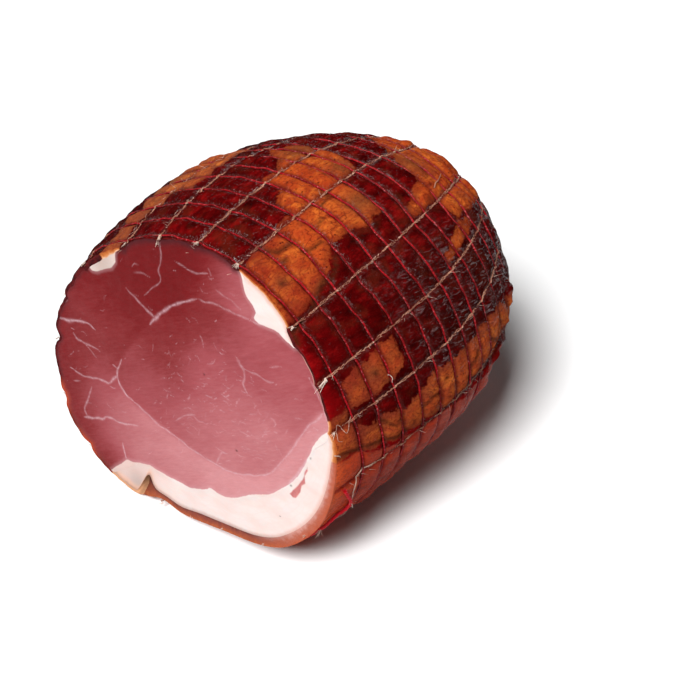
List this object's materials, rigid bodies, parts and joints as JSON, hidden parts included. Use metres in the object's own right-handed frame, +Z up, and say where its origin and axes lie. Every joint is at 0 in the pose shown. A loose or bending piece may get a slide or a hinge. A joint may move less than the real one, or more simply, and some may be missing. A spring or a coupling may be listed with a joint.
{
  "type": "smoked ardennes ham",
  "caption": "Boneless smoked ham in a knitted net, lying on its belly, cut square across at one end so that the lean and the fat layers show.",
  "frame": {"origin": "middle of the ham's bounding box, on the plane it lies on", "axes": "+Z up; the cut face looks along -Y; +X is to the right when looking at the cut"},
  "size_m": [0.1914, 0.1852, 0.1576],
  "materials": {
    "lean": "moist cut lean meat, dark red glossy smoked surface outside",
    "fat": "firm white fat at the cut, amber smoked rind outside",
    "net_thread": "twisted red elastic thread",
    "string": "natural cotton string"
  },
  "bodies": {
    "root": {"lean_meat": "lean", "fat_layer_lower": "fat", "fat_layer_side": "fat", "netting": "net_thread", "net_knot": "string"}
  },
  "joints": []
}
